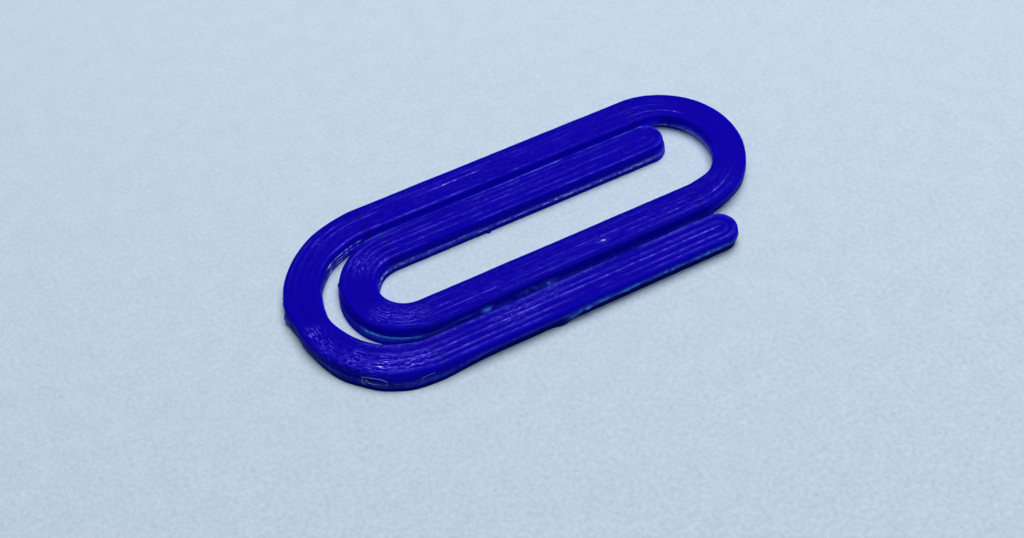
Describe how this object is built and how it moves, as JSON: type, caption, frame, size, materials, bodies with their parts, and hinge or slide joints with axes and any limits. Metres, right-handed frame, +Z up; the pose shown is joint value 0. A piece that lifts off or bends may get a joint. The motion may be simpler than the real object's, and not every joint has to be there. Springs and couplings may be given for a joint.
{
  "type": "paper clip",
  "caption": "Flat printed plastic paper clip: a strip turned back on itself into an outer and an inner loop that spring apart to grip sheets of paper.",
  "frame": {"origin": "centre of the clip's outline, on the plane that it rests on", "axes": "+X along the legs, from the large outer bend towards the end bend; +Y across the legs, towards the long leg; +Z up, out of the top face"},
  "size_m": [0.0294, 0.0128, 0.0011],
  "materials": {
    "blue_plastic": "printed, satin, with fine lengthwise ridges"
  },
  "bodies": {
    "outer_loop": {"long_leg": "blue_plastic", "outer_bend": "blue_plastic", "end_bend": "blue_plastic"},
    "inner_loop": {"middle_leg": "blue_plastic", "inner_bend": "blue_plastic"},
    "outer_free_leg": {"outer_leg": "blue_plastic"},
    "inner_free_leg": {"inner_leg": "blue_plastic"}
  },
  "joints": [
    {"name": "loop_opening", "type": "hinge", "parent": "outer_loop", "child": "inner_loop", "pos_m": [0.01365, 0.00133, 0.00055], "axis": [0, 1, 0], "range_deg": [-6, 6], "stiffness_Nm_per_rad": 0.008, "deforming": ["end_bend"]},
    {"name": "outer_leg_flex", "type": "hinge", "parent": "outer_loop", "child": "outer_free_leg", "pos_m": [-0.01365, 0, 0.00055], "axis": [0, -1, 0], "range_deg": [-5, 5], "stiffness_Nm_per_rad": 0.004, "deforming": ["outer_bend"]},
    {"name": "inner_leg_flex", "type": "hinge", "parent": "inner_loop", "child": "inner_free_leg", "pos_m": [-0.01045, 0.00007, 0.00055], "axis": [0, -1, 0], "range_deg": [-5, 5], "stiffness_Nm_per_rad": 0.003, "deforming": ["inner_bend"]}
  ]
}
